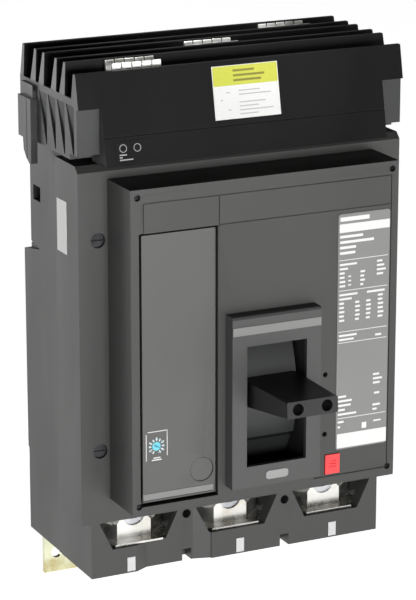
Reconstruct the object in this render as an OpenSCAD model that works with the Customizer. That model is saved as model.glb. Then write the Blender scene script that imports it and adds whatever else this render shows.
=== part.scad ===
// Molded case circuit breaker, three poles, plug-on line end, in millimetres.
// X runs across the poles, -Y is the front, +Z is the line end, y = 0 is the mounting plane.

/* [Case] */
// width of the base and terminal block
base_width = 210; // [205:1:212]
// width of the front cover and the plug-on housing
cover_width = 228; // [224:1:232]
// depth from the mounting plane to the parting line of base and cover
parting_depth = 76; // [74:1:78]
// depth from the mounting plane to the front of the cover flange
flange_depth = 112; // [111:1:114]
// depth from the mounting plane to the front of the accessory cover
front_depth = 147; // [145:1:150]
// height of the base, from its load end to its line end
base_height = 279; // [277:1:282]
// height at which the cover flange starts, above the load end
flange_bottom = 40; // [38:1:42]
// distance between the centrelines of neighbouring poles
pole_pitch = 70; // [69:0.5:71]
// clear width inside each pole
cell_width = 58; // [54:1:58]

/* [Accessory cover] */
// width of the raised accessory cover
raised_width = 188; // [184:1:192]
// height of the bottom edge of the raised cover
raised_bottom = 56; // [54:1:58]
// height of the top edge of the raised cover
raised_top = 267; // [264:1:268]
// wall thickness of the raised cover
raised_wall = 4; // [3:0.5:5]
// how far the handle frame stands out from the raised cover
escutcheon_rise = 10; // [8:1:12]

/* [Handle] */
// sideways position of the handle centre
handle_x = 2.5; // [0:0.5:3]
// distance from the handle pivot to the handle tip
handle_reach = 143; // [130:1:150]
// width of the handle at its tip
handle_tip_width = 35.5; // [30:0.5:38]
// angle of the handle at rest, above straight out
handle_rest_angle = 4.7; // [3:0.1:6]
// angle of the contact arms at rest, away from closed
arm_rest_angle = 10.8; // [9:0.1:12]

/* [Plug-on jaws] */
// height of the fin tops
fin_top = 338; // [334:1:342]
// height of the floor between the fins
fin_floor = 318; // [316:1:320]
// thickness of each fin
fin_thickness = 3.2; // [2.4:0.2:3.6]
// thickness of each fin at its root
fin_root = 8.4; // [5:0.2:9]
// gap between the two halves of a jaw
jaw_gap = 6.8; // [6.4:0.1:7.2]
// width of a jaw
jaw_width = 34; // [30:1:36]

/* [Load lugs] */
// radius of each wire hole in a lug
wire_radius = 9; // [8:0.5:9.5]
// radius of each binding screw
lug_screw_radius = 8; // [7:0.2:8]

/* [Hidden] */
half_base = base_width / 2;
half_cover = cover_width / 2;
half_raised = raised_width / 2;
half_cell = cell_width / 2;
poles = [-pole_pitch, 0, pole_pitch];
top_seam = base_height;
flange_top = base_height - 3;
deck_front = 86;
deck_back = 82;
block_front = flange_depth - 6;
block_top = 62;
well_floor = 18;
upper_back = 12;
cell_floor = 23;
shaft_y = -43;
shaft_z = 138;
shaft_radius = 9;
run = 0.08;
gap = 0.3;
pivot_y = -63;
pivot_z = 120;
drum_radius = 82;
drum_half_width = 20.6;
trip_y = -94;
trip_z = 80;
button_x = 48.2;
button_z = 69;
rear_y = -20.4;
lug_bottom = 19.5;
lug_screw_z = 36;
fins = [-22, -42, -55.5, -75.5, -89.2];
jaws = [-99, -65.5, -32];
lip_front = -110.5;
lip_top = 334;
face_slope = 0.204;
block_bottom = 276.3;
lug_y = -54;
e = 0.1;
$fn = 48;

case_grey = [0.20, 0.20, 0.215];
dark_grey = [0.13, 0.13, 0.14];
light_grey = [0.62, 0.62, 0.64];
copper = [0.78, 0.45, 0.30];
silver = [0.82, 0.82, 0.84];
steel = [0.60, 0.61, 0.63];
zinc = [0.82, 0.70, 0.35];

// a box given by its two limits along each axis
module box(x, y, z) {
    translate([x[0], y[0], z[0]])
        cube([x[1] - x[0], y[1] - y[0], z[1] - z[0]]);
}

// a round bar along X
module bar_x(x, r) {
    translate([x[0], 0, 0])
        rotate([0, 90, 0])
            cylinder(h = x[1] - x[0], r = r);
}

// a round bar along Y
module bar_y(y, r) {
    translate([0, y[0], 0])
        rotate([-90, 0, 0])
            cylinder(h = y[1] - y[0], r = r);
}

// an outline in X and Z, given thickness along Y
module plate_y(y, points) {
    translate([0, y[1], 0])
        rotate([90, 0, 0])
            linear_extrude(y[1] - y[0])
                polygon(points);
}

// an outline in Y and Z, given thickness along X
module plate_x(x, points) {
    translate([x[0], 0, 0])
        rotate([90, 0, 90])
            linear_extrude(x[1] - x[0])
                polygon(points);
}

module at_shaft(angle) {
    translate([0, shaft_y, shaft_z])
        rotate([angle, 0, 0])
            children();
}

module at_pivot(angle) {
    translate([handle_x, pivot_y, pivot_z])
        rotate([-angle, 0, 0])
            children();
}

// depth of the sloped front of the plug-on housing at height z
function face_y(z) = lip_front - (lip_top - z) * face_slope;

// a thin label lying on that sloped front
module sloped_label(x, z, thickness) {
    plate_x(x, [[face_y(z[0]), z[0]], [face_y(z[0]) - thickness, z[0] + thickness * face_slope],
        [face_y(z[1]) - thickness, z[1] + thickness * face_slope], [face_y(z[1]), z[1]]]);
}

// one lug well, open to the front and down to the cable entry
module well() {
    plate_y([-block_front - e, -36], [[-20, well_floor], [20, well_floor], [32.5, 44],
        [32.5, block_top + 2], [-32.5, block_top + 2], [-32.5, 44]]);
    // behind the front wall the well is a plain pocket for the lug
    box([-28, 28], [-96, -36], [well_floor, block_top + 2]);
    box([-27.5, 27.5], [-92, -42.6], [-e, well_floor + e]);
}

module base_housing() {
    color(case_grey)
    difference() {
        union() {
            box([-half_base, half_base], [-parting_depth, 0], [0, top_seam]);
            box([-half_base, half_base], [-block_front, -parting_depth + e], [0, block_top]);
        }
        // the three pole chambers
        for (x = poles) translate([x, 0, 0]) {
            box([-half_cell, half_cell], [-parting_depth - e, -8], [block_top + 4, 196]);
            box([-half_cell, half_cell], [-parting_depth - e, -cell_floor], [190, top_seam - 7]);
            box([-15, 15], [-30, -22.8], [top_seam - 8, top_seam + e]);
            box([-22, 22], [-44, -36.5], [block_top - e, block_top + 5]);
            well();
        }
        // passage of the crossbar through the two inner walls
        translate([0, shaft_y, shaft_z])
            bar_x([-half_base + 7, half_base - 7], shaft_radius + run);
        // the back is stepped at the line end, with a small notch at each side
        box([-half_base - e, half_base + e], [-upper_back, e], [200, top_seam + e]);
        for (side = [-1, 1]) {
            scale([side, 1, 1])
                plate_x([half_base - 5, half_base + e], [[e, 197], [-27, 202], [e, 207]]);
            scale([side, 1, 1])
                box([half_base - 5, half_base + e], [-29, -17], [234, 244]);
        }
        // holes and slots in the terminal block front
        for (x = [-pole_pitch / 2, pole_pitch / 2]) translate([x, 0, 0]) {
            translate([0, 0, 32.5])
                bar_y([-block_front - e, -block_front + 24], 3);
            box([-3.2, 3.2], [-block_front - e, -block_front + 14], [-e, 8]);
        }
        // recessed web between the first two poles, and a shallow step on each side
        translate([0, 0, -e])
            linear_extrude(block_top + 2 * e)
                polygon([[-72.8, -block_front - e], [-64, -block_front + 4.5], [-30.5, -block_front + 4.5],
                    [-19, -block_front + 1.2], [-19, -block_front - e]]);
        for (side = [-1, 1]) scale([side, 1, 1])
            box([half_base - 0.6, half_base + e], [-52, e], [-e, 58]);
        // seat of the rear bracket
        box([-97, 97], [-3, e], [-e, 28]);
        for (x = [-80, 0, 80]) translate([x, 0, 16])
            bar_y([-13, -2], 2.6);
        for (x = [-1, 1]) for (z = [89, 228]) translate([x * (half_base - 4.5), 0, z])
            bar_y([-parting_depth - e, -parting_depth + 15], 1.9);
    }
}

module main_cover() {
    color(case_grey)
    difference() {
        union() {
            difference() {
                plate_x([-half_cover, half_cover], [[-flange_depth, flange_bottom],
                    [-parting_depth, flange_bottom], [-parting_depth, flange_top],
                    [-flange_depth + 4, flange_top], [-flange_depth, flange_top - 4]]);
                // hollow between flange and deck
                box([-half_cover + 5, half_cover - 5], [-flange_depth + 6, -deck_front],
                    [flange_bottom - e, flange_top - 5]);
                box([-half_base + 6, half_base - 6], [-deck_back, -parting_depth + e],
                    [flange_bottom - e, flange_top - 5]);
                box([-88, 88], [-flange_depth - e, -deck_front], [62, 261]);
                box([-half_base - gap, half_base + gap], [-flange_depth + 6, -parting_depth + e],
                    [flange_bottom - e, block_top + gap]);
            }
            // bosses behind the flange screws
            for (x = [-1, 1]) for (z = [89, 228]) translate([x * (half_base - 4.5), 0, z])
                bar_y([-flange_depth + 2, -deck_front + 1], 7);
        }
        // opening for the mechanism
        box([-27, 28.6], [-deck_front - e, -deck_back + e], [66.5, 206]);
        for (x = [-1, 1]) for (z = [89, 228]) translate([x * (half_base - 4.5), 0, z]) {
            bar_y([-flange_depth - e, -flange_depth + 6], 4.9);
            bar_y([-flange_depth, -parting_depth + e], 2.6);
        }
        for (x = [-1, 1]) for (z = [-1, 1])
            translate([x * 89.3, 0, z > 0 ? 262 : 61])
                bar_y([-flange_depth - e, -flange_depth + 5.5], 1.4);
    }
}

module accessory_cover() {
    color(case_grey)
    difference() {
        union() {
            difference() {
                box([-half_raised, half_raised], [-front_depth, -flange_depth], [raised_bottom, raised_top]);
                box([-half_raised + raised_wall, half_raised - raised_wall],
                    [-front_depth + raised_wall, -flange_depth + e],
                    [raised_bottom + raised_wall, raised_top - raised_wall]);
            }
            // posts of the four corner screws
            for (x = [-1, 1]) for (z = [-1, 1])
                translate([x * 89.3, 0, z > 0 ? 262 : 61])
                    bar_y([-front_depth + 2, -flange_depth], 4.7);
            // guide of the push-to-trip button
            box([button_x - 7.5, button_x + 7.5], [-122, -116], [raised_bottom + 2, button_z + 9]);
        }
        // window of the trip unit
        box([-88.4, -34.2], [-front_depth - e, -front_depth + 6], [60.5, 238.8]);
        // opening behind the handle frame
        box([handle_x - 25, handle_x + 25], [-front_depth - e, -front_depth + 6], [71, 174]);
        // button hole and guide bore
        box([button_x - 5.6, button_x + 5.6], [-front_depth - e, -front_depth + 6],
            [button_z - 6.9, button_z + 6.9]);
        translate([button_x, 0, button_z])
            bar_y([-124, -114], 3 + run);
        // small access holes beside the handle
        for (z = [90, 130.5]) translate([42.5, 0, z])
            bar_y([-front_depth - e, -front_depth + 6], 1.7);
        // shallow grooves that frame the front panel
        for (z = [257.6, 238.8])
            box([z > 250 ? -85.2 : -34, 89.2], [-front_depth - e, -front_depth + 0.8], [z, z + 0.9]);
        box([-87.2, -84.9], [-front_depth - e, -front_depth + 0.8], [238, 258]);
        box([88.3, 89.2], [-front_depth - e, -front_depth + 0.8], [61, 258]);
        box([-34, -33.1], [-front_depth - e, -front_depth + 0.8], [238, 258]);
        box([35, 89.2], [-front_depth - e, -front_depth + 0.8], [60.4, 61.3]);
        // screw holes at the corners
        for (x = [-1, 1]) for (z = [-1, 1])
            translate([x * 89.3, 0, z > 0 ? 262 : 61]) {
                bar_y([-front_depth - e, -front_depth + 7], 2.1);
                bar_y([-front_depth, -flange_depth + e], 1.6);
            }
    }
}

module trip_unit_case() {
    color(dark_grey)
    difference() {
        box([-85, -35.5], [-front_depth + 5.1, -deck_front], [63, 236]);
        box([-83, -37.5], [-front_depth + 5, -deck_front - 2], [65, 234]);
        // passage of the actuator plunger
        translate([0, -104, 92])
            bar_x([-38, -35], 3);
    }
}

module trip_unit_face() {
    color([0.27, 0.27, 0.29])
    difference() {
        box([-85.6, -34.9], [-front_depth + 2.6, -front_depth + 5.1], [62.2, 237]);
        translate([-76, 0, 99])
            bar_y([-front_depth, -front_depth + 6], 3 + run);
        translate([-44.4, 0, 78.8])
            bar_y([-front_depth, -front_depth + 4.2], 8.1);
        box([-85.7, -35.6], [-front_depth, -front_depth + 3.2], [63.2, 68]);
    }
}

module trip_unit_board() {
    color([0.12, 0.34, 0.20])
        box([-82, -38.5], [-124, -122.4], [70, 230]);
    color(dark_grey)
    for (z = [110, 140, 170, 200])
        box([-76, -46], [-122.4, -119], [z, z + 18]);
}

module rating_dial() {
    color(light_grey)
    translate([-76, 0, 99])
    difference() {
        union() {
            bar_y([-front_depth + 1.9, -front_depth + 5.5], 3);
            bar_y([-front_depth + 5.3, -front_depth + 12], 4);
        }
        box([-0.4, 0.4], [-front_depth, -front_depth + 2.6], [-2.2, 2.2]);
    }
}

module test_port_cap() {
    color([0.24, 0.24, 0.26])
        translate([-44.4, 0, 78.8])
            bar_y([-front_depth + 3.1, -front_depth + 4.2], 7.7);
}

module trip_unit_strip() {
    color(light_grey)
        box([-85.2, -36], [-front_depth + 2.8, -front_depth + 3.2], [63.6, 67.6]);
}

module trip_actuator() {
    color(steel)
    translate([0, -104, 92]) {
        bar_x([-74, -44], 9);
        bar_x([-44.1, -36], 2.4);
    }
}

module handle_escutcheon() {
    front = front_depth + escutcheon_rise;
    color(dark_grey)
    difference() {
        plate_x([handle_x - 31.5, handle_x + 31.5], [[-front_depth, 66], [-front, 66],
            [-front, 178.4], [-front + 0.8, 179.8], [-front + 1.8, 180.2], [-front_depth, 180.2]]);
        box([handle_x - 21.2, handle_x + 21.2], [-front - e, -front_depth + e], [80, 160.2]);
        box([handle_x - 28.5, handle_x + 28.5], [-front + 3.5, -front_depth + e], [69, 170]);
    }
}

// inner walls of the handle slot, with a curved lip below the handle's own shield
module handle_shroud() {
    color(dark_grey)
    translate([handle_x, 0, 0]) {
        for (side = [-1, 1]) scale([side, 1, 1])
            plate_x([22.2, 24.2], [[-153.4, 72], [-153.4, 169], [-142.9, 169], [-142.9, 177],
                [-100.5, 177], [-100.5, 62.4], [-142.9, 62.4], [-142.9, 72]]);
        translate([0, pivot_y, pivot_z])
        difference() {
            bar_x([-22.3, 22.3], drum_radius - 5);
            bar_x([-23, 23], drum_radius - 8);
            // only the arc from 24 to 49 degrees below the pivot is kept
            plate_x([-23, 23], [[0, 0], [-100, -100 * tan(24)], [-100, 100], [100, 100],
                [100, -100], [-100 / tan(49), -100]]);
        }
    }
}

module handle_band() {
    front = front_depth + escutcheon_rise;
    color(light_grey)
        box([handle_x - 31.2, handle_x + 31.2], [-front - 0.4, -front], [168, 173.4]);
}

module rating_tag() {
    front = front_depth + escutcheon_rise;
    color(light_grey)
        box([handle_x - 7.6, handle_x + 8.4], [-front - 0.4, -front], [69.8, 75.4]);
}

// the paddle that the operator moves, with two cored holes in its end face
module toggle_handle() {
    color([0.10, 0.10, 0.105])
    at_pivot(handle_rest_angle)
    difference() {
        union() {
            hull() {
                box([-21 + 2, 21 - 2], [-drum_radius - 6, -drum_radius - 0.5], [-8.5, 8.5]);
                box([-handle_tip_width / 2, handle_tip_width / 2],
                    [-handle_reach, -handle_reach + 1], [-4.6, 4.6]);
                box([-handle_tip_width / 2 + 0.8, handle_tip_width / 2 - 0.8],
                    [-handle_reach, -handle_reach + 1], [-5.3, 5.3]);
            }
        }
        for (x = [-10.1, 10.1]) translate([x, 0, 0])
            bar_y([-handle_reach - e, -handle_reach + 14], 3.8);
    }
}

// curved shield that rides with the handle behind the opening
module handle_drum() {
    color(dark_grey)
    at_pivot(handle_rest_angle)
    difference() {
        bar_x([-drum_half_width, drum_half_width], drum_radius - 0.5);
        bar_x([-drum_half_width - e, drum_half_width + e], drum_radius - 3.5);
        // only the arc in front of the pivot is kept
        plate_x([-drum_half_width - e, drum_half_width + e], [[0, 0], [-100, -44.5],
            [-100, -100], [100, -100], [100, 100], [-100 * cos(44) / sin(44), 100]]);
    }
}

// metal yoke between the pivot and the handle
module handle_yoke() {
    color(steel)
    at_pivot(handle_rest_angle)
    difference() {
        union() {
            for (side = [-1, 1]) scale([side, 1, 1]) {
                translate([0, 0, 0])
                    bar_x([18, 20.4], 7);
                box([18, 20.4], [-drum_radius + 3.8, 0], [-6, 6]);
                bar_x([20.3, 24.6], 3);
            }
            box([-20.4, 20.4], [-drum_radius + 3.8, -drum_radius + 6.6], [-6, 6]);
        }
        for (side = [-1, 1]) scale([side, 1, 1])
            box([17, 21], [-62, -34], [-2.5, 2.5]);
    }
}

module push_to_trip_button() {
    color([0.86, 0.16, 0.20])
    translate([button_x, 0, button_z]) {
        box([-5.25, 5.25], [-front_depth - 0.8, -front_depth + 5], [-6.6, 6.6]);
        bar_y([-front_depth + 4, -98.6], 3);
        // three raised bars for the fingertip
        for (z = [-1.9, 0, 1.9])
            box([-2.6, 2.6], [-front_depth - 1, -front_depth - 0.7], [z - 0.4, z + 0.4]);
    }
}

// one coil spring along Z, drawn as a stack of rings
module coils(count, pitch, r, wire) {
    for (i = [0:count - 1]) translate([0, 0, i * pitch])
        rotate_extrude()
            translate([r, 0])
                circle(r = wire, $fn = 24);
}

module button_spring() {
    color(steel)
    translate([button_x, -front_depth + 5.8, button_z])
        rotate([-90, 0, 0])
            coils(9, 1.9, 4.3, 0.55);
}

module trip_bar() {
    color(light_grey)
    translate([0, trip_y, trip_z]) {
        bar_x([-32, 53], 4);
        box([button_x - 4, button_x + 4], [-4.3, -1.3], [-16, 0]);
        box([-34.4, -31.9], [-14, 4], [-4, 16]);
        box([-3, 3], [-1.5, 1.5], [2, 12]);
    }
}

// two steel side plates tied by spacers
module mechanism_frame() {
    color(steel)
    translate([handle_x, 0, 0])
    difference() {
        union() {
            for (side = [-1, 1]) scale([side, 1, 1])
                plate_x([22.4, 24.4], [[-99, 72], [-70, 68], [-67, 97], [-30, 105], [-30, 172],
                    [-84, 172], [-84, 132], [-99, 90]]);
            for (p = [[-33, 112], [-78, 165]]) translate([0, p[0], p[1]])
                bar_x([-22.5, 22.5], 2.3);
        }
        translate([0, pivot_y, pivot_z])
            bar_x([-26, 26], 3 + run);
        translate([0, trip_y, trip_z])
            bar_x([-26, 26], 4 + run);
        translate([0, shaft_y, shaft_z])
            bar_x([-26, 26], shaft_radius + 1);
    }
}

module cradle() {
    color(steel)
    translate([handle_x, 0, 0])
    difference() {
        union() {
            for (side = [-1, 1]) scale([side, 1, 1])
                plate_x([11, 13.6], [[-84, 150], [-76, 158], [-52, 160], [-48, 154], [-70, 146]]);
            translate([0, -78, 153])
                bar_x([-13.6, 13.6], 2);
        }
    }
}

module toggle_links() {
    color(steel)
    translate([handle_x, 0, 0])
    for (side = [-1, 1]) scale([side, 1, 1]) {
        hull() {
            translate([0, -68, 148]) bar_x([14.2, 16.2], 3.4);
            translate([0, -58, 130]) bar_x([14.2, 16.2], 3.4);
        }
        translate([0, -68, 148])
            bar_x([13.6, 17.2], 1.8);
    }
}

module main_springs() {
    color(steel)
    translate([handle_x, 0, 0])
    for (side = [-1, 1]) translate([side * 9.4, -100, 108])
        rotate([-48, 0, 0])
            coils(17, 2, 3.6, 0.7);
}

module contact_crossbar() {
    color([0.45, 0.20, 0.12])
    at_shaft(arm_rest_angle)
    union() {
        bar_x([-half_base + 7.3, half_base - 7.3], shaft_radius);
        for (x = poles) for (side = [-1, 1])
            translate([x + side * 10.3, 0, 0])
                bar_x([-2.3, 2.3], 13);
    }
}

// contact arm with its silver tip, drawn closed and then opened to its rest angle
module contact_arm() {
    color(copper)
    at_shaft(arm_rest_angle)
    difference() {
        union() {
            plate_x([-6, 6], [[-6, -4], [5, -4], [5, 66], [0, 71], [-5, 66]]);
            bar_x([-7.9, 7.9], 12.4);
        }
        bar_x([-9, 9], shaft_radius);
    }
    color(silver)
    at_shaft(arm_rest_angle)
        translate([0, 0, 60])
            bar_y([4.9, 10.7], 5);
}
module contact_arm_a() { translate([-pole_pitch, 0, 0]) contact_arm(); }
module contact_arm_b() { contact_arm(); }
module contact_arm_c() { translate([pole_pitch, 0, 0]) contact_arm(); }

module flexible_shunts() {
    color(copper)
    for (x = poles) translate([x, 0, 0])
        plate_x([-7, 7], [[-43, 112], [-37, 112], [-36, 118], [-38.5, 124.4], [-47.5, 124.4], [-46, 118]]);
}

// bar from the fixed contact through the top of the base and forward to its jaw
module line_conductor(jaw_y) {
    color(copper)
        plate_x([-13, 13], [[-29, 188], [-23, 188], [-23, 291], [jaw_y - 6.5, 291], [jaw_y - 6.5, 285], [-29, 285]]);
    color(silver)
        translate([0, 0, shaft_z + 60])
            bar_y([-32, -28.9], 6);
}
module line_conductor_a() { translate([-pole_pitch, 0, 0]) line_conductor(jaws[0]); }
module line_conductor_b() { line_conductor(jaws[1]); }
module line_conductor_c() { translate([pole_pitch, 0, 0]) line_conductor(jaws[2]); }

// splitter plates between two insulating cheeks, above the contact tips
module arc_chute() {
    color([0.80, 0.76, 0.66])
    for (side = [-1, 1]) scale([side, 1, 1])
        box([26, 28.4], [-80, -24], [206, 262]);
    color(steel)
    for (i = [0:6])
        plate_y([-41 - 6 * i, -39.4 - 6 * i], [[-26, 214], [-11, 214], [-7, 232], [7, 232], [11, 214],
            [26, 214], [26, 260], [-26, 260]]);
}
module arc_chute_a() { translate([-pole_pitch, 0, 0]) arc_chute(); }
module arc_chute_b() { arc_chute(); }
module arc_chute_c() { translate([pole_pitch, 0, 0]) arc_chute(); }

module load_conductor() {
    color(copper)
        box([-15, 15], [-42.6, -37], [20, 112]);
}
module load_conductor_a() { translate([-pole_pitch, 0, 0]) load_conductor(); }
module load_conductor_b() { load_conductor(); }
module load_conductor_c() { translate([pole_pitch, 0, 0]) load_conductor(); }

module current_sensor() {
    color([0.30, 0.32, 0.36])
    difference() {
        box([-28, 28], [-66, -14], [67, 94]);
        box([-17, 17], [-46, -33.5], [66, 95]);
    }
}
module current_sensor_a() { translate([-pole_pitch, 0, 0]) current_sensor(); }
module current_sensor_b() { current_sensor(); }
module current_sensor_c() { translate([pole_pitch, 0, 0]) current_sensor(); }

// positions of the wire holes of one lug
wire_holes = [[0, -75], [-15.5, lug_y], [15.5, lug_y]];

module load_lug() {
    color([0.72, 0.72, 0.72])
    difference() {
        union() {
            translate([0, 0, lug_bottom])
                linear_extrude(58 - lug_bottom)
                    polygon([[-12, -95], [12, -95], [27, -80], [27, -42.6], [-27, -42.6], [-27, -80]]);
            // shelf that reaches to the front of the well
            translate([0, 0, lug_bottom - 1.2])
                linear_extrude(1.2)
                    polygon([[-17, -103.5], [17, -103.5], [19.5, -97], [19.5, -95.5], [26, -93], [26, -85],
                        [-26, -85], [-26, -93], [-19.5, -95.5], [-19.5, -97]]);
        }
        for (w = wire_holes) translate([w[0], w[1], lug_bottom - 3])
            cylinder(h = 45, r = wire_radius);
        translate([0, 0, lug_screw_z])
            bar_y([-96, -75], lug_screw_radius);
        for (side = [-1, 1]) translate([side * 15.5, 0, lug_screw_z])
            bar_y([-96, lug_y], lug_screw_radius - 1.8);
    }
}
module load_lug_a() { translate([-pole_pitch, 0, 0]) load_lug(); }
module load_lug_b() { load_lug(); }
module load_lug_c() { translate([pole_pitch, 0, 0]) load_lug(); }

module socket_screw(y, r, depth) {
    difference() {
        bar_y(y, r);
        translate([0, y[0] - e, 0])
            rotate([-90, 0, 0])
                cylinder(h = depth, r = r * 0.58, $fn = 6);
    }
}

module lug_screws() {
    color(steel)
    for (x = poles) translate([x, 0, lug_screw_z]) {
        socket_screw([-93.6, -84.4], lug_screw_radius - gap / 3, 6);
        for (side = [-1, 1]) translate([side * 15.5, 0, 0])
            socket_screw([-76, -64], lug_screw_radius - 1.9, 6);
    }
}

// two rows of spring fingers that grip a bus bar
module line_jaw(jaw_y) {
    color(silver)
    translate([0, jaw_y, 0])
    difference() {
        union() {
            box([-jaw_width / 2, jaw_width / 2], [-6.5, 6.5], [291, 301]);
            for (side = [-1, 1]) scale([1, side, 1])
                plate_x([-jaw_width / 2, jaw_width / 2], [[jaw_gap / 2, 300], [6.5, 300], [6.5, fin_top],
                    [jaw_gap / 2 + 2, fin_top], [jaw_gap / 2, fin_top - 5]]);
        }
        for (i = [-2:2]) if (i < 2)
            box([(i + 0.5) * jaw_width / 5 - 0.5, (i + 0.5) * jaw_width / 5 + 0.5], [-8, 8], [304, fin_top + 1]);
    }
}
module line_jaw_a() { translate([-pole_pitch, 0, 0]) line_jaw(jaws[0]); }
module line_jaw_b() { line_jaw(jaws[1]); }
module line_jaw_c() { translate([pole_pitch, 0, 0]) line_jaw(jaws[2]); }

// flat springs that press the fingers together
module jaw_springs() {
    color(steel)
    for (i = [0:2]) translate([poles[i], jaws[i], 0])
        for (side = [-1, 1]) scale([1, side, 1])
            plate_x([-15, 15], [[6.5, 302], [6.9, 302], [7.4, 312], [6.9, 324], [6.5, 324], [6.9, 312]]);
}

module jaw_housing() {
    color(dark_grey)
    difference() {
        union() {
            box([-half_cover, half_cover], [-112, rear_y], [top_seam, fin_floor]);
            // the fins that part the bus bars, thicker at the root and leaning in at their ends
            for (y = fins) intersection() {
                plate_x([-half_cover, half_cover], [[y - fin_root / 2, fin_floor - e],
                    [y + min(fin_root / 2, rear_y - y), fin_floor - e],
                    [y + fin_thickness / 2, fin_top], [y - fin_thickness / 2, fin_top]]);
                plate_y([-110, 0], [[-half_cover, fin_floor - 1], [-half_cover + 2, fin_top + e],
                    [half_cover - 2, fin_top + e], [half_cover, fin_floor - 1]]);
            }
            // sloped front wall, with a wider lip along the top
            plate_x([-98.7, 98.7], [[-100, block_bottom], [face_y(block_bottom), block_bottom],
                [face_y(312.5), 312.5], [-100, 312.5]]);
            plate_x([-half_cover, half_cover], [[-100, 312.4], [face_y(312.4), 312.4],
                [lip_front, lip_top], [lip_front + 3.3, lip_top], [-104, fin_floor],
                [-100, fin_floor - e]]);
            // stepped post with a tapered hook at each rear corner
            for (side = [-1, 1]) scale([side, 1, 1]) {
                box([half_cover - 4, half_cover + 4.5], [-48, -27], [top_seam + 1.3, 307]);
                box([half_cover - 4, half_cover + 2.2], [-46.5, -27], [306.9, 315.5]);
                plate_x([half_cover, half_cover + 4.5], [[-34.5, top_seam + 1.4], [-35.5, 272.5], [-40, 267.5],
                    [-45.5, 264.5], [-47.5, 265], [-48, top_seam + 1.4]]);
                box([half_cover - 1, half_cover + 1], [-48, -34.5], [top_seam, top_seam + 1.4]);
            }
        }
        for (side = [-1, 1]) scale([side, 1, 1]) {
            // split line of the post, and the gap under each front corner
            box([half_cover + 3.7, half_cover + 5], [-41.6, -40.8], [264, 307.1]);
            box([98.8, half_cover + e], [-112 - e, -101], [top_seam - e, top_seam + 4]);
            // tapered flutes along the sides, with sloping floors
            for (i = [0:3]) translate([0, -50.5 - 14.6 * i, 0]) intersection() {
                plate_x([half_cover - 3, half_cover + e], [[-1.2, 313.5], [-13.6, 313.5], [-13.6, 281],
                    [-12.2, 281]]);
                translate([0, 0, 280])
                    linear_extrude(35)
                        polygon([[half_cover + e, 0], [half_cover - 0.2, -1], [half_cover - 2.6, -13.7],
                            [half_cover + e, -13.7]]);
            }
        }
        // seam across the front
        plate_x([-98.8, 98.8], [[face_y(294) - 1, 294], [face_y(294) + 0.8, 294],
            [face_y(294) + 0.8, 294.9], [face_y(294) - 1, 294.9]]);
        // a channel for each line conductor and a well for each jaw
        for (i = [0:2]) translate([poles[i], 0, 0]) {
            box([-14, 14], [jaws[i] - 7.6, -22.7], [top_seam - e, 300]);
            box([-19, 19], [jaws[i] - 7.6, jaws[i] + 7.6], [285, fin_top + e]);
        }
    }
}

module nameplate() {
    color([0.55, 0.55, 0.57])
        box([50.5, 88], [-front_depth - 0.4, -front_depth], [78, 236]);
}

// printed label on the sloped front of the plug-on housing
module caution_label() {
    color([0.9, 0.9, 0.88])
        sloped_label([-22, 24], [298, 331], 0.4);
}

module approval_plate() {
    color([0.16, 0.16, 0.17])
        sloped_label([-92, -65], [278, 291.5], 0.4);
}

module side_label() {
    color([0.9, 0.9, 0.9])
        box([-half_cover - 0.3, -half_cover], [-94, -79], [216, 250]);
}

module phase_plates() {
    color(light_grey)
    for (x = [-77, 2, 71])
        box([x - 2.8, x + 2.8], [-block_front - 0.4, -block_front], [1.2, 10.8]);
}

module rear_bracket() {
    color(zinc)
    difference() {
        union() {
            box([-96, 96], [-3, 0], [-34.5, 28]);
        }
        for (x = [-87, 87]) translate([x, 0, -20.5])
            bar_y([-4, 1], 4);
        for (x = [-80, 0, 80]) translate([x, 0, 16])
            bar_y([-4, 1], 2.7);
        box([-72, 72], [-4, 1], [-36, -12]);
    }
}

module bracket_screws() {
    color(steel)
    for (x = [-80, 0, 80]) translate([x, 0, 16])
        bar_y([-12, -0.6], 2.5);
}

module cover_screws() {
    color(steel)
    for (x = [-1, 1]) for (z = [89, 228]) translate([x * (half_base - 4.5), 0, z])
    difference() {
        union() {
            bar_y([-flange_depth + 2, -flange_depth + 6], 4.6);
            bar_y([-flange_depth + 5, -parting_depth + 12], 1.8);
        }
        box([-4, 4], [-flange_depth, -flange_depth + 3.4], [-0.6, 0.6]);
    }
}

module accessory_screws() {
    color(steel)
    for (x = [-1, 1]) for (z = [262, 61]) translate([x * 89.3, 0, z])
    difference() {
        union() {
            bar_y([-front_depth + 3, -front_depth + 7], 2);
            bar_y([-front_depth + 6, -flange_depth + 5], 1.3);
        }
        box([-1.6, 1.6], [-front_depth + 2.9, -front_depth + 4.2], [-0.35, 0.35]);
    }
}

base_housing();
main_cover();
accessory_cover();
trip_unit_case();
trip_unit_face();
trip_unit_board();
rating_dial();
test_port_cap();
trip_unit_strip();
trip_actuator();
handle_escutcheon();
handle_shroud();
handle_band();
rating_tag();
toggle_handle();
handle_drum();
handle_yoke();
push_to_trip_button();
button_spring();
trip_bar();
mechanism_frame();
cradle();
toggle_links();
main_springs();
contact_crossbar();
contact_arm_a();
contact_arm_b();
contact_arm_c();
flexible_shunts();
line_conductor_a();
line_conductor_b();
line_conductor_c();
arc_chute_a();
arc_chute_b();
arc_chute_c();
load_conductor_a();
load_conductor_b();
load_conductor_c();
current_sensor_a();
current_sensor_b();
current_sensor_c();
load_lug_a();
load_lug_b();
load_lug_c();
lug_screws();
line_jaw_a();
line_jaw_b();
line_jaw_c();
jaw_springs();
jaw_housing();
nameplate();
caution_label();
approval_plate();
side_label();
phase_plates();
rear_bracket();
bracket_screws();
cover_screws();
accessory_screws();
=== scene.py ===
"""Looks for the molded case circuit breaker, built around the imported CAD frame."""
import math

import bmesh
import bpy
from mathutils import Matrix, Vector


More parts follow.
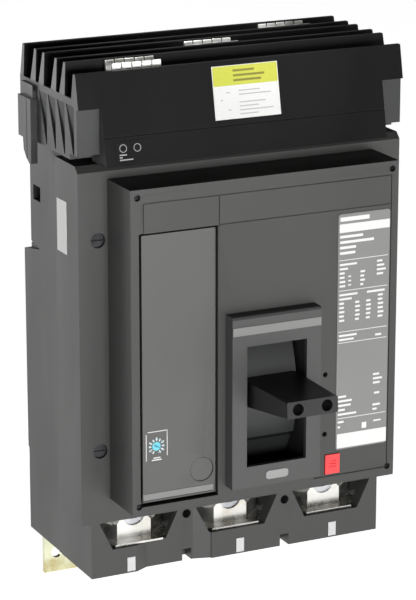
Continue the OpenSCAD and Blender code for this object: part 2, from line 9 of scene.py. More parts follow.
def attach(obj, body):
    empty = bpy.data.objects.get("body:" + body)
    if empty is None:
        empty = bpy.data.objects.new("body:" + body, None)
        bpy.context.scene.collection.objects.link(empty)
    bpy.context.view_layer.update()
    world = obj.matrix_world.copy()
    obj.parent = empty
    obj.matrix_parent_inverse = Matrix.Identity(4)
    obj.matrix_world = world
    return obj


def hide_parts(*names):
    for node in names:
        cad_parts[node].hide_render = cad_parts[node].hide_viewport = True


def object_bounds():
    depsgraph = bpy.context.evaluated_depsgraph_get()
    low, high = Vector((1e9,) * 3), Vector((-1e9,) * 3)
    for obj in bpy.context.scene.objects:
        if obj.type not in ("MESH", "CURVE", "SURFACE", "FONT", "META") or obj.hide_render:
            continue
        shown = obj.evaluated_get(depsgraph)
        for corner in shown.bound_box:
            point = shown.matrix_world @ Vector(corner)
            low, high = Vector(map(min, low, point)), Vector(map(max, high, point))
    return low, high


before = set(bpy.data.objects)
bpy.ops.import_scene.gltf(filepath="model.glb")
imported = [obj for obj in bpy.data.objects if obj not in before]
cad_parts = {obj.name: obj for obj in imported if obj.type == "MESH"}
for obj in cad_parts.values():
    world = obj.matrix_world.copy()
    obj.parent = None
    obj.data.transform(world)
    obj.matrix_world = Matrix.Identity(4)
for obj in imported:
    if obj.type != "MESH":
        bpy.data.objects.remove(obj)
cad_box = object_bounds()
MM = 0.001
scene = bpy.context.scene

# ---------------------------------------------------------------- camera
CAM_AT = Vector((-0.7568, -1.6310, 0.6724))
CAM_AZ, CAM_EL, CAM_LENS = math.radians(25.74), math.radians(16.28), 164.8
cam_data = bpy.data.cameras.new("camera")
cam_data.lens = CAM_LENS
cam_data.sensor_width = 36
cam_data.clip_end = 20
cam = bpy.data.objects.new("camera", cam_data)
scene.collection.objects.link(cam)
cam.location = CAM_AT
look = Vector((math.sin(CAM_AZ) * math.cos(CAM_EL), math.cos(CAM_AZ) * math.cos(CAM_EL), -math.sin(CAM_EL)))
cam.rotation_euler = look.to_track_quat("-Z", "Y").to_euler()
scene.camera = cam


# ---------------------------------------------------------------- materials
class Nodes:
    """A small helper around one material's node tree."""

    def __init__(self, name):
        self.mat = bpy.data.materials.new(name)
        self.mat.use_nodes = True
        self.tree = self.mat.node_tree
        self.bsdf = self.tree.nodes["Principled BSDF"]
        self.coord = self.add("ShaderNodeTexCoord").outputs["Object"]

    def add(self, kind, **values):
        node = self.tree.nodes.new(kind)
        for key, value in values.items():
            setattr(node, key, value)
        return node

    def link(self, a, b):
        self.tree.links.new(a, b)

    def noise(self, scale, detail=4.0, rough=0.55, stretch=None):
        node = self.add("ShaderNodeTexNoise")
        node.inputs["Scale"].default_value = scale
        node.inputs["Detail"].default_value = detail
        node.inputs["Roughness"].default_value = rough
        source = self.coord
        if stretch:
            mapping = self.add("ShaderNodeMapping")
            mapping.inputs["Scale"].default_value = stretch
            self.link(self.coord, mapping.inputs["Vector"])
            source = mapping.outputs["Vector"]
        self.link(source, node.inputs["Vector"])
        return node.outputs["Fac"]

    def ramp(self, source, stops):
        node = self.add("ShaderNodeValToRGB")
        while len(node.color_ramp.elements) < len(stops):
            node.color_ramp.elements.new(0.5)
        for element, (at, colour) in zip(node.color_ramp.elements, stops):
            element.position = at
            element.color = (*colour, 1) if len(colour) == 3 else colour
        self.link(source, node.inputs["Fac"])
        return node.outputs["Color"]

    def span(self, source, low, high, in_low=0.3, in_high=0.7):
        node = self.add("ShaderNodeMapRange")
        node.inputs["From Min"].default_value = in_low
        node.inputs["From Max"].default_value = in_high
        node.inputs["To Min"].default_value = low
        node.inputs["To Max"].default_value = high
        self.link(source, node.inputs["Value"])
        return node.outputs["Result"]

    def bump(self, source, strength, distance, under=None):
        node = self.add("ShaderNodeBump")
        node.inputs["Strength"].default_value = strength
        node.inputs["Distance"].default_value = distance
        self.link(source, node.inputs["Height"])
        if under is not None:
            self.link(under, node.inputs["Normal"])
        return node.outputs["Normal"]

    def facing(self, axis):
        """How far a face looks along an axis of the object, 0 to 1."""
        split = self.add("ShaderNodeSeparateXYZ")
        self.link(self.coord.node.outputs["Normal"], split.inputs[0])
        size = self.add("ShaderNodeMath", operation="ABSOLUTE")
        self.link(split.outputs[axis], size.inputs[0])
        return size.outputs[0]

    def corner_blocks(self):
        """1 on the two front corner blocks of the plug-on housing, below its lip, which get the painted side light
        too.
        """
        split = self.add("ShaderNodeSeparateXYZ")
        self.link(self.coord, split.inputs[0])
        out = self.add("ShaderNodeMath", operation="ABSOLUTE")
        self.link(split.outputs["X"], out.inputs[0])
        both = self.add("ShaderNodeMath", operation="MULTIPLY")
        self.link(self.span(out.outputs[0], 0.0, 1.0, 0.0986, 0.0989), both.inputs[0])
        self.link(self.span(split.outputs["Z"], 1.0, 0.0, 0.3121, 0.3124), both.inputs[1])
        return both.outputs[0]

    def most(self, a, b):
        node = self.add("ShaderNodeMath", operation="MAXIMUM")
        self.link(a, node.inputs[0])
        self.link(b, node.inputs[1])
        return node.outputs[0]

    def mix(self, factor, a, b):
        node = self.add("ShaderNodeMix", data_type="RGBA")
        self.link(factor, node.inputs[0])
        for value, socket in ((a, node.inputs[6]), (b, node.inputs[7])):
            if isinstance(value, tuple):
                socket.default_value = (*value, 1)
            else:
                self.link(value, socket)
        return node.outputs[2]


def shade(colour, k):
    return tuple(min(1.0, c * k) for c in colour)


def plastic(name, colour, rough=0.5, grain=0.35, coat=0.0, scale=1500.0, sheen=0.5, ends=None, painted_top_shade_sheen=None):
    """Moulded plastic: fine spark-eroded grain, faint flow marks, edges rubbed a little paler.

    ends is (colour, sheen) of the faces towards +X and -X and of the two front corner blocks: painted side light,
    lighter and glossier than the rest. painted_top_shade_sheen is the sheen of the faces towards +Z and -Z: painted
    shade on the tops.
    """
    n = Nodes(name)
    clouds = n.noise(9.0, 5.0, 0.6)
    fine = n.noise(scale, 3.0, 0.6)
    flow = n.noise(22.0, 3.0, 0.5, stretch=(1.0, 1.0, 0.25))
    base = n.ramp(clouds, [(0.30, shade(colour, 0.90)), (0.55, colour), (0.75, shade(colour, 1.10))])
    speck = n.ramp(fine, [(0.40, (0, 0, 0)), (0.72, (1, 1, 1))])
    tinted = n.mix(speck, base, shade(colour, 1.25))
    pointed = n.add("ShaderNodeNewGeometry").outputs["Pointiness"]
    edge = n.ramp(pointed, [(0.505, (0, 0, 0)), (0.56, (0.6, 0.6, 0.6))])
    n.link(n.mix(edge, tinted, shade(colour, 1.5)), n.bsdf.inputs["Base Color"])
    n.link(n.span(flow, rough - 0.05, rough + 0.07), n.bsdf.inputs["Roughness"])
    n.link(n.bump(fine, grain, 0.00012), n.bsdf.inputs["Normal"])
    n.bsdf.inputs["Specular IOR Level"].default_value = sheen
    # painted side light: a lighter colour and more sheen on the faces towards +X and -X and on the front corner blocks
    if ends:
        painted_side_light_mask = n.most(n.span(n.facing("X"), 0.0, 1.0, 0.5, 0.8), n.corner_blocks())
        painted_side_colour = n.ramp(clouds, [(0.30, shade(ends[0], 0.88)), (0.70, shade(ends[0], 1.12))])
        n.link(n.mix(painted_side_light_mask, n.bsdf.inputs["Base Color"].links[0].from_socket, painted_side_colour),
               n.bsdf.inputs["Base Color"])
        n.link(n.span(painted_side_light_mask, sheen, ends[1], 0.0, 1.0), n.bsdf.inputs["Specular IOR Level"])
    # painted shade: less sheen on the faces towards +Z and -Z, so that the top faces read dark
    if painted_top_shade_sheen is not None:
        n.link(n.span(n.facing("Z"), sheen, painted_top_shade_sheen, 0.3, 0.8), n.bsdf.inputs["Specular IOR Level"])
    n.bsdf.inputs["Coat Weight"].default_value = coat
    n.bsdf.inputs["Coat Roughness"].default_value = 0.12
    return n.mat


def metal(name, colour, rough=0.3, brushed=None, stain=None, dents=0.12, scale=600.0):
    """Plated or bare metal: brushing or fine pitting, with patches of tarnish."""
    n = Nodes(name)
    n.bsdf.inputs["Metallic"].default_value = 1.0
    patches = n.noise(45.0, 5.0, 0.6)
    dark = stain or shade(colour, 0.72)
    n.link(n.ramp(patches, [(0.30, dark), (0.52, colour), (0.74, shade(colour, 1.08))]), n.bsdf.inputs["Base Color"])
    streaks = n.noise(scale, 4.0, 0.6, stretch=brushed)
    n.link(n.span(patches, rough - 0.07, rough + 0.12), n.bsdf.inputs["Roughness"])
    n.link(n.bump(streaks, dents, 0.00015), n.bsdf.inputs["Normal"])
    return n.mat


MATS = {
    "case": plastic("case_plastic", (0.030, 0.0305, 0.029), 0.42, 0.30),
    # cover and handle frame: painted shade on their top faces, by less sheen there
    "cover": plastic("cover_plastic", (0.030, 0.0305, 0.029), 0.42, 0.30, painted_top_shade_sheen=0.18),
    # plug-on housing: dark front, with painted side light on its side faces and front corner blocks
    "housing": plastic("housing_plastic", (0.0055, 0.0055, 0.0055), 0.38, 0.30, sheen=0.15,
                       ends=((0.028, 0.0285, 0.029), 0.45)),
    "dark": plastic("inner_dark_plastic", (0.014, 0.0145, 0.015), 0.45, 0.25),
    "frame": plastic("handle_frame_plastic", (0.042, 0.0425, 0.0415), 0.40, 0.22, painted_top_shade_sheen=0.10),
    "trip": plastic("trip_face_plastic", (0.062, 0.062, 0.060), 0.42, 0.22),
    # trip unit case: black plastic, taken near-black as painted shade so that the gap round the trip unit face reads
    # black
    "trip_case": plastic("trip_case_plastic", (0.006, 0.006, 0.0065), 0.5, 0.25, sheen=0.3),
    "handle": plastic("handle_plastic", (0.007, 0.007, 0.0078), 0.38, 0.16),
    "red": plastic("button_plastic", (0.62, 0.028, 0.032), 0.32, 0.08, coat=0.35),
    "light": plastic("light_plastic", (0.40, 0.40, 0.40), 0.45, 0.15),
    "board": plastic("circuit_board", (0.03, 0.15, 0.07), 0.35, 0.10, coat=0.3),
    "resin": plastic("sensor_resin", (0.035, 0.040, 0.055), 0.45, 0.30),
    "thermoset": plastic("crossbar_thermoset", (0.20, 0.06, 0.035), 0.55, 0.35),
    "film": plastic("printed_film", (0.145, 0.145, 0.142), 0.38, 0.05, coat=0.25),
    "tag": plastic("tag_plastic", (0.20, 0.20, 0.198), 0.40, 0.10, coat=0.2),
    "white": plastic("printed_white", (0.51, 0.51, 0.50), 0.42, 0.04),
    "yellow": plastic("printed_yellow", (0.38, 0.395, 0.045), 0.42, 0.04),
    "pale_ink": plastic("printed_pale_grey", (0.30, 0.30, 0.30), 0.45, 0.04),
    "olive": plastic("printed_olive", (0.16, 0.15, 0.02), 0.45, 0.04),
    "cyan": plastic("printed_cyan", (0.13, 0.48, 0.58), 0.35, 0.04),
    "teal": plastic("pointer_teal", (0.03, 0.20, 0.26), 0.40, 0.04),
    "steel": metal("zinc_plated_steel", (0.62, 0.63, 0.65), 0.30, stain=(0.42, 0.43, 0.46)),
    "dark_screw": metal("blackened_screw", (0.060, 0.060, 0.064), 0.40, stain=(0.025, 0.025, 0.028)),
    "spring": metal("spring_steel", (0.50, 0.50, 0.52), 0.28),
    "copper": metal("bare_copper", (0.86, 0.45, 0.30), 0.28, stain=(0.50, 0.22, 0.13), brushed=(0.2, 1, 1)),
    "silver": metal("silver_plating", (0.92, 0.92, 0.90), 0.42, stain=(0.66, 0.64, 0.58), brushed=(1, 1, 0.15)),
    "lug": metal("tinned_aluminium", (0.84, 0.83, 0.79), 0.26, stain=(0.68, 0.65, 0.56), brushed=(0.3, 1, 1)),
    "zinc": metal("yellow_zinc", (0.66, 0.67, 0.48), 0.30, stain=(0.46, 0.37, 0.13)),
}

NODE_MATS = {
    "base_housing": "case", "main_cover": "cover", "accessory_cover": "cover", "trip_unit_case": "trip_case",
    "trip_unit_face": "trip", "trip_unit_board": "board", "rating_dial": "light", "test_port_cap": "trip",
    "trip_unit_strip": "film", "trip_actuator": "steel", "handle_escutcheon": "frame", "handle_shroud": "dark",
    "handle_band": "film",
    "rating_tag": "film", "toggle_handle": "handle", "handle_drum": "dark", "handle_yoke": "steel",
    "push_to_trip_button": "red", "button_spring": "spring", "trip_bar": "light", "mechanism_frame": "steel",
    "cradle": "steel", "toggle_links": "steel", "main_springs": "spring", "contact_crossbar": "thermoset",
    "flexible_shunts": "copper", "lug_screws": "steel", "jaw_springs": "spring", "jaw_housing": "housing",
    "nameplate": "film", "caution_label": "white", "approval_plate": "housing", "side_label": "white",
    "phase_plates": "light", "rear_bracket": "zinc", "bracket_screws": "steel", "cover_screws": "dark_screw",
    "accessory_screws": "dark_screw",
}
for pole in "abc":
    NODE_MATS.update({
        "contact_arm_" + pole: "copper", "line_conductor_" + pole: "copper", "arc_chute_" + pole: "steel",
        "load_conductor_" + pole: "copper", "current_sensor_" + pole: "resin", "load_lug_" + pole: "lug",
        "line_jaw_" + pole: "silver"})

BEVELS = {
    "base_housing": 0.7, "main_cover": 0.8, "accessory_cover": 0.9, "trip_unit_face": 0.4, "handle_escutcheon": 0.7,
    "jaw_housing": 0.6, "rear_bracket": 0.5, "load_lug_a": 0.6, "load_lug_b": 0.6, "load_lug_c": 0.6,
    "handle_yoke": 0.3, "push_to_trip_button": 0.5, "trip_unit_case": 0.4, "mechanism_frame": 0.2,
    "line_conductor_a": 0.5, "line_conductor_b": 0.5, "line_conductor_c": 0.5, "handle_drum": 0.3,
}


def bevel(obj, width_mm, segments=2, angle=32):
    mod = obj.modifiers.new("soft_edges", "BEVEL")
    mod.width = width_mm * MM
    mod.segments = segments
    mod.limit_method = "ANGLE"
    mod.angle_limit = math.radians(angle)
    mod.use_clamp_overlap = True
    mod.harden_normals = False


for name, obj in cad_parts.items():
    obj.data.materials.clear()
    obj.data.materials.append(MATS[NODE_MATS[name]])
    if name in BEVELS:
        bevel(obj, BEVELS[name])


# ---------------------------------------------------------------- helpers for the detailed pieces
def finish_piece(bm, name, mat, body, replaces=(), smooth=True, edge_mm=0.0):
    """Turns a bmesh into a named piece that rides on a body."""
    bmesh.ops.remove_doubles(bm, verts=bm.verts, dist=1e-7)
    bmesh.ops.recalc_face_normals(bm, faces=bm.faces)
    mesh = bpy.data.meshes.new(name)
    bm.to_mesh(mesh)
    bm.free()
    obj = bpy.data.objects.new(name, mesh)
    scene.collection.objects.link(obj)
    mesh.materials.append(MATS[mat])
    if smooth:
        for poly in mesh.polygons:
            poly.use_smooth = True
    if edge_mm:
        bevel(obj, edge_mm)
    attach(obj, body)
    if replaces:
        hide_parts(*replaces)
    return obj


def add_prism(bm, outline, low, high, place):
    """A closed prism: outline in two dimensions, extruded from low to high, put into space by place(u, v, w)."""
    bottom = [bm.verts.new(place(u, v, low)) for u, v in outline]
    top = [bm.verts.new(place(u, v, high)) for u, v in outline]
    bm.faces.new(bottom[::-1])
    bm.faces.new(top)
    for i in range(len(outline)):
        j = (i + 1) % len(outline)
        bm.faces.new((bottom[i], bottom[j], top[j], top[i]))


def front_at(y_mm):
    """Places outline (x, z) with height w standing out towards the front from the plane y_mm."""
    return lambda u, v, w: Vector((u, y_mm - w, v)) * MM


def rounded_rect(x0, x1, z0, z1, r, steps=5):
    points = []
    for cx, cz, start in ((x1 - r, z1 - r, 0), (x0 + r, z1 - r, 90), (x0 + r, z0 + r, 180), (x1 - r, z0 + r, 270)):
        for k in range(steps + 1):
            a = math.radians(start + 90 * k / steps)
            points.append((cx + r * math.cos(a), cz + r * math.sin(a)))
    return points


def coil(r, wire, turns, length, place):
    """A helix of round wire as a swept mesh, in metres, wound closer towards its ends."""
    bm = bmesh.new()
    per_turn, around = 28, 10
    count = int(turns * per_turn)
    rings = []
    for k in range(count + 1):
        t = k / count
        z = length * (t - 0.035 * math.sin(2 * math.pi * t))
        a = 2 * math.pi * turns * t
        centre = Vector((r * math.cos(a), r * math.sin(a), z))
        outward = Vector((math.cos(a), math.sin(a), 0))
        tangent = Vector((-math.sin(a), math.cos(a), length / (2 * math.pi * r * turns))).normalized()
        side = tangent.cross(outward).normalized()
        ring = []
        for q in range(around):
            b = 2 * math.pi * q / around
            ring.append(bm.verts.new(place @ (centre + (outward * math.cos(b) + side * math.sin(b)) * wire)))
        rings.append(ring)
    for one, two in zip(rings, rings[1:]):
        for q in range(around):
            bm.faces.new((one[q], one[(q + 1) % around], two[(q + 1) % around], two[q]))
    bm.faces.new(rings[0][::-1])
    bm.faces.new(rings[-1])
    return bm


# ---------------------------------------------------------------- printed plates and labels
# millimetres, in the frame's own axes
FRONT = -147.0
DIAL_X, DIAL_Z = -76.0, 99.0
# a print reaches this far into what it lies on, and stands this far out of a flat plate or a sloped label
SINK, PRINT, FILM = -0.02, 0.06, 0.05
TAG = (-5.10, 10.90, 69.8, 75.4)
TAG_FRONT = -157.00


def print_bars(name, bars, place, mat, body):
    bm = bmesh.new()
    for x0, x1, z0, z1 in bars:
        add_prism(bm, rounded_rect(x0, x1, z0, z1, min(0.25, (z1 - z0) / 2.2, (x1 - x0) / 2.2), 2), SINK, PRINT, place)
    return finish_piece(bm, name, mat, body, smooth=False)


def rounded_plates():
    """The long plate and the small tag, each with rounded corners."""
    for name, node, outline, y, mat, slot in (
            ("rounded_nameplate", "nameplate", rounded_rect(50.5, 88, 78, 236, 1.8), FRONT, "film", "label_grey"),
            ("rounded_tag", "rating_tag", rounded_rect(*TAG, 2.2), TAG_FRONT, "tag", "dial_plastic")):
        bm = bmesh.new()
        add_prism(bm, outline, SINK, 0.4, front_at(y))
        finish_piece(bm, name, mat, "case", replaces=(node,), smooth=False)


def plate_print():
    """The print on the long plate: bands, rules and short dashes that stand for lines of writing."""
    at = front_at(FRONT - 0.4)
    left, right = 51.4, 87.2
    bars = [(left, right + 0.6, 223.8, 229.4), (left, right + 0.6, 78.9, 88.6)]
    for z in (205.3, 185.1, 157.6, 150.2, 99.0):
        bars.append((left, right - 0.4, z, z + 0.42))
    bars.append((left + 0.4, left + 21.5, 231.2, 233.9))
    for z, length in ((220.2, 17), (216.6, 25), (213.0, 12), (209.4, 11.5)):
        bars.append((left + 0.4, left + length, z, z + 1.7))

    def column(x, top, rows, step, lengths, height=1.35):
        for k in range(rows):
            bars.append((x, x + lengths[k % len(lengths)], top - k * step - height, top - k * step))

    column(left + 0.4, 203.3, 6, 2.85, (12.5, 6.0, 3.6, 3.6, 4.2, 4.2))
    column(left + 6.6, 194.9, 3, 2.85, (2.2, 2.2, 2.2), 0.9)
    column(left + 15.5, 197.4, 4, 2.85, (3.4, 2.8, 3.4, 2.2))
    column(left + 27.5, 203.0, 4, 2.85, (4.0, 5.4, 6.6, 4.6))
    column(left + 0.4, 183.2, 7, 2.85, (13.2, 9.0, 3.4, 3.4, 3.8, 3.4, 3.8))
    column(left + 20.5, 183.2, 1, 2.85, (13.0,))
    column(left + 12.0, 177.4, 5, 2.85, (3.0, 3.6, 3.2, 3.4, 2.8))
    column(left + 20.0, 177.4, 5, 2.85, (3.2, 3.6, 3.4, 3.2, 2.8))
    column(left + 28.6, 180.2, 6, 2.85, (3.6, 3.4, 4.0, 3.8, 4.2, 3.6))
    column(left + 0.4, 155.9, 2, 2.7, (13.0, 11.0))
    column(left + 27.0, 153.6, 1, 2.7, (4.6,))
    column(left + 26.0, 126.8, 3, 2.9, (4.6, 6.8, 5.2))
    column(left + 27.0, 114.0, 1, 2.9, (4.0,))
    column(left + 0.4, 114.6, 5, 3.0, (6.0, 10.2, 9.4, 5.2, 13.6))
    column(left + 26.0, 106.0, 2, 3.0, (5.6, 3.2))
    column(left + 0.4, 97.4, 2, 3.4, (4.4, 1.8))
    bars += [(left + 18.2, left + 21.6, 90.3, 94.3), (left + 26.8, left + 32.4, 93.8, 94.8)]
    print_bars("nameplate_print", bars, at, "white", "case")


def dial_print():
    """Scale round the adjusting dial: rays in white and pale blue inside a ruled square."""
    bm = bmesh.new()
    at = front_at(FRONT + 2.6)
    cx, cz = DIAL_X, DIAL_Z
    for x0, x1, z0, z1 in ((-83.4, -82.95, 90.0, 107.6), (-68.9, -68.45, 92.0, 109.0), (-82.2, -68.45, 108.6, 109.1)):
        add_prism(bm, [(x0, z0), (x1, z0), (x1, z1), (x0, z1)], SINK, PRINT, at)
    for k in range(11):
        a = math.radians(-60 + 30 * k)
        ux, uz = math.cos(a), math.sin(a)
        half, inner, outer = 0.34, 3.5, 5.9 if k % 2 else 5.3
        corners = [(inner, -half), (outer, -half * 1.2), (outer, half * 1.2), (inner, half)]
        add_prism(bm, [(cx + ux * r - uz * s, cz + uz * r + ux * s) for r, s in corners], SINK, PRINT, at)
    for x0, x1, z in ((-79.4, -72.6, 89.6), (-78.2, -73.4, 91.0)):
        add_prism(bm, [(x0, z), (x1, z), (x1, z + 0.7), (x0, z + 0.7)], SINK, PRINT, at)
    finish_piece(bm, "dial_scale", "white", "case", smooth=False)
    bm = bmesh.new()
    for k in range(24):
        a = math.radians(-75 + 300 * k / 23)
        r = 4.5 + 0.5 * (k % 2)
        x, z = cx + r * math.cos(a), cz + r * math.sin(a)
        add_prism(bm, [(x - 0.22, z - 0.22), (x + 0.22, z - 0.22), (x + 0.22, z + 0.22), (x - 0.22, z + 0.22)],
                  SINK, PRINT, at)
    finish_piece(bm, "dial_dots", "cyan", "case", smooth=False)


def dial_knob():
    """Blue knob with a pointer ridge, in place of the CAD dial."""
    bm = bmesh.new()
    cx, cz, steps = DIAL_X, DIAL_Z, 48
    rings = ((0.0, 3.0), (1.0, 3.0), (1.5, 2.86), (1.72, 2.5), (1.76, 1.9))
    loops = []
    for depth, r in rings:
        loops.append([bm.verts.new(Vector((cx + r * math.cos(2 * math.pi * k / steps), FRONT + 4.0 - depth,
                                           cz + r * math.sin(2 * math.pi * k / steps))) * MM) for k in range(steps)])
    for one, two in zip(loops, loops[1:]):
        for k in range(steps):
            bm.faces.new((one[k], one[(k + 1) % steps], two[(k + 1) % steps], two[k]))
    bm.faces.new(loops[0][::-1])
    bm.faces.new(loops[-1])
    arrow = [(-0.42, -2.0), (0.42, -2.0), (0.42, 0.7), (1.0, 0.7), (0.0, 2.5), (-1.0, 0.7), (-0.42, 0.7)]
    turn = math.radians(62)
    arrow = [(cx + x * math.cos(turn) - z * math.sin(turn), cz + x * math.sin(turn) + z * math.cos(turn))
             for x, z in arrow]
    finish_piece(bm, "dial_knob", "cyan", "dial", replaces=("rating_dial",))
    bm = bmesh.new()
    add_prism(bm, arrow, 1.70, 2.05, front_at(FRONT + 4.0))
    finish_piece(bm, "dial_pointer", "teal", "dial", smooth=False)


# the sloped front of the plug-on housing: its top edge, how far it comes forward per millimetre of height,
# and how thick the labels on it are
SLOPE_Y, SLOPE_Z, SLOPE, LABEL = -110.5, 334.0, 0.204, 0.39


def sloped(u, v, w):
    """Puts (x, z) with height w on the labels of the sloped front."""
    y = SLOPE_Y - (SLOPE_Z - v) * SLOPE
    normal = Vector((0, -1, SLOPE)).normalized()
    return (Vector((u, y, v)) + normal * (w + LABEL)) * MM


def front_label():
    """Generic hazard-yellow band over a white field with faint grey dashes, no writing and no symbol."""
    bm = bmesh.new()
    add_prism(bm, rounded_rect(-21.6, 23.6, 318.6, 330.6, 1.0), SINK, FILM, sloped)
    finish_piece(bm, "front_label_band", "yellow", "case", smooth=False)
    bm = bmesh.new()
    for x0, x1, z0, z1 in ((-7.5, 7.5, 326.9, 328.3), (-7.5, 14.5, 323.9, 325.3), (-7.5, 12.0, 320.9, 322.3)):
        add_prism(bm, [(x0, z0), (x1, z0), (x1, z1), (x0, z1)], 0.04, 0.09, sloped)
    finish_piece(bm, "front_label_heading", "olive", "case", smooth=False)
    bm = bmesh.new()
    rows = ((-4.5, 10.5, 314.8), (-4.5, 18.0, 312.4), (-4.5, 14.0, 307.6), (-4.5, 9.0, 305.2), (-4.5, 19.0, 302.8),
            (-4.5, 8.5, 300.4), (-13.0, -10.5, 314.0), (-17.5, -15.8, 309.6), (-12.6, -10.6, 303.4))
    for x0, x1, z in rows:
        add_prism(bm, [(x0, z), (x1, z), (x1, z + 0.7), (x0, z + 0.7)], SINK, FILM, sloped)
    finish_piece(bm, "front_label_lines", "pale_ink", "case", smooth=False)


def corner_plate_marks():
    """Two plain rings and dashes on the small dark plate."""
    bm = bmesh.new()
    for cx, cz in ((-86.6, 287.2), (-77.0, 287.0)):
        steps = 28
        for k in range(steps):
            a, b = 2 * math.pi * k / steps, 2 * math.pi * (k + 1) / steps
            quad = [(cx + r * math.cos(t), cz + r * math.sin(t)) for r, t in ((2.1, a), (2.5, a), (2.5, b), (2.1, b))]
            add_prism(bm, quad, SINK, FILM, sloped)
    for x0, x1, z in ((-89.4, -84.4, 282.9), (-89.4, -87.4, 281.4), (-89.4, -80.4, 279.9)):
        add_prism(bm, [(x0, z), (x1, z), (x1, z + 0.7), (x0, z + 0.7)], SINK, FILM, sloped)
    finish_piece(bm, "corner_plate_marks", "pale_ink", "case", smooth=False)


def button_marks():
    """Three raised bars on the button's face."""
    bm = bmesh.new()
    for z in (70.9, 69.0, 67.1):
        add_prism(bm, rounded_rect(45.6, 50.8, z - 0.42, z + 0.42, 0.3), -0.02, 0.22, front_at(FRONT - 0.8))
    finish_piece(bm, "button_ribs", "red", "button")


# ---------------------------------------------------------------- springs and jaws
def springs():
    turn = Matrix.Rotation(math.radians(-90), 4, "X")
    place = Matrix.Translation(Vector((48.2, -141.2, 69.0)) * MM) @ turn
    bm = coil(4.3 * MM, 0.55 * MM, 8.0, 15.2 * MM, place)
    finish_piece(bm, "button_coil", "spring", "button", replaces=("button_spring",))
    bm = bmesh.new()
    for side in (-1, 1):
        place = (Matrix.Translation(Vector((2.5 + side * 9.4, -100.0, 108.0)) * MM)
                 @ Matrix.Rotation(math.radians(-48), 4, "X"))
        one = coil(3.6 * MM, 0.7 * MM, 16.0, 32.0 * MM, place)
        mesh = bpy.data.meshes.new("tmp")
        one.to_mesh(mesh)
        one.free()
        bm.from_mesh(mesh)
        bpy.data.meshes.remove(mesh)
    finish_piece(bm, "main_coils", "spring", "case", replaces=("main_springs",))


def jaw_fingers():
    """Rows of curved spring fingers with flared mouths, in place of the straight CAD fingers."""
    # height, and distance from the middle plane of the jaw, up the inner side and down the outer side
    inner = ((301.0, 3.9), (306.0, 4.1), (314.0, 3.9), (322.0, 3.5),
             (327.5, 3.4), (331.0, 3.5), (334.5, 4.0), (337.6, 5.0))
    outer = ((337.9, 5.9), (335.0, 6.3), (331.5, 5.9), (327.5, 5.6),
             (322.0, 5.7), (314.0, 6.2), (306.0, 6.4), (301.0, 6.4))
    for pole, x, y in (("a", -70, -99), ("b", 0, -65.5), ("c", 70, -32)):
        bm = bmesh.new()
        add_prism(bm, rounded_rect(x - 17, x + 17, y - 6.5, y + 6.5, 1.0), 291.0, 301.4,
                  lambda u, v, w: Vector((u, v, w)) * MM)
        for k in range(5):
            x0 = x - 17 + 34 / 5 * k + 0.45
            x1 = x - 17 + 34 / 5 * (k + 1) - 0.45
            for side in (-1, 1):
                outline = [(y + side * d, z) for z, d in inner + outer]
                add_prism(bm, outline, x0, x1, lambda u, v, w: Vector((w, u, v)) * MM)
        finish_piece(bm, "jaw_fingers_" + pole, "silver", "case", replaces=("line_jaw_" + pole,),
                     smooth=False, edge_mm=0.25)


rounded_plates()
plate_print()
dial_print()
dial_knob()
front_label()
corner_plate_marks()
button_marks()
springs()
jaw_fingers()


# ---------------------------------------------------------------- stage and light
FLOOR_GLOW = 0.95
# brightness of the sky over the sine of its height
WORLD = [(0.0, 0.34), (0.08, 0.14), (0.22, 0.02), (1.0, 0.012)]
MIDDLE = (0, 0, 0.17)


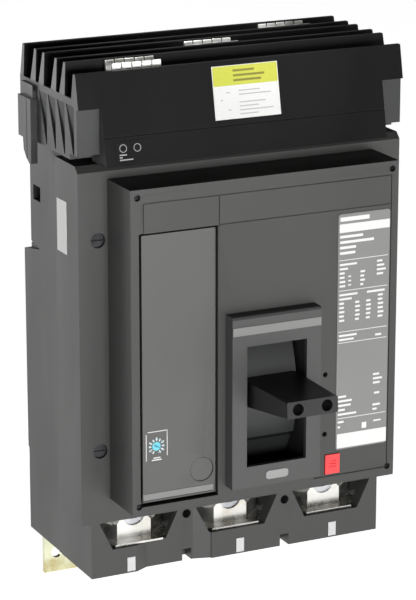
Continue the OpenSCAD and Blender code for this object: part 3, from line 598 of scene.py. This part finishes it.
def floor():
    """A pale, evenly lit light-table floor, so that the object stands on white with hardly a shadow."""
    bm = bmesh.new()
    bmesh.ops.create_grid(bm, x_segments=1, y_segments=1, size=9.0)
    mesh = bpy.data.meshes.new("floor")
    bm.to_mesh(mesh)
    bm.free()
    obj = bpy.data.objects.new("floor", mesh)
    obj.location = (0, 0, cad_box[0][2] - 0.0002)
    scene.collection.objects.link(obj)
    n = Nodes("floor_paint")
    n.link(n.ramp(n.noise(3.0), [(0.3, (0.74, 0.74, 0.74)), (0.7, (0.78, 0.78, 0.78))]), n.bsdf.inputs["Base Color"])
    n.bsdf.inputs["Roughness"].default_value = 0.9
    n.bsdf.inputs["Specular IOR Level"].default_value = 0.1
    n.bsdf.inputs["Emission Color"].default_value = (1, 1, 1, 1)
    n.bsdf.inputs["Emission Strength"].default_value = FLOOR_GLOW
    mesh.materials.append(n.mat)


def area_light(name, at, target, size, power):
    data = bpy.data.lights.new(name, "AREA")
    data.shape = "RECTANGLE"
    data.size, data.size_y = size
    data.energy = power
    obj = bpy.data.objects.new(name, data)
    obj.location = at
    obj.rotation_euler = (Vector(target) - Vector(at)).to_track_quat("-Z", "Y").to_euler()
    scene.collection.objects.link(obj)


def spot_light(name, at, target, cone, power):
    data = bpy.data.lights.new(name, "SPOT")
    data.spot_size = math.radians(cone)
    data.spot_blend = 0.5
    data.shadow_soft_size = 0.06
    data.energy = power
    obj = bpy.data.objects.new(name, data)
    obj.location = at
    obj.rotation_euler = (Vector(target) - Vector(at)).to_track_quat("-Z", "Y").to_euler()
    scene.collection.objects.link(obj)


def studio_world():
    """Light at the horizon, dark overhead."""
    world = bpy.data.worlds.new("world")
    world.use_nodes = True
    tree = world.node_tree
    coord = tree.nodes.new("ShaderNodeTexCoord")
    split = tree.nodes.new("ShaderNodeSeparateXYZ")
    ramp = tree.nodes.new("ShaderNodeValToRGB")
    tree.links.new(coord.outputs["Generated"], split.inputs[0])
    tree.links.new(split.outputs["Z"], ramp.inputs["Fac"])
    for level, (at, value) in enumerate(WORLD):
        if level >= len(ramp.color_ramp.elements):
            ramp.color_ramp.elements.new(at)
        ramp.color_ramp.elements[level].position = at
        ramp.color_ramp.elements[level].color = (value, value, value, 1)
    tree.links.new(ramp.outputs["Color"], tree.nodes["Background"].inputs["Color"])
    scene.world = world


floor()
studio_world()
area_light("key", (-0.25, -2.7, 0.22), MIDDLE, (1.0, 0.7), 68)
area_light("rim", (-1.5, 2.0, 0.45), MIDDLE, (1.0, 1.0), 12)
spot_light("top", (-0.10, 0.32, 1.00), (0, -0.055, 0.336), 20, 55)
spot_light("jaws", (0.0, -0.60, 1.25), (0.035, -0.035, 0.337), 8, 45)
scene.view_settings.view_transform = "Standard"
scene.view_settings.look = "None"
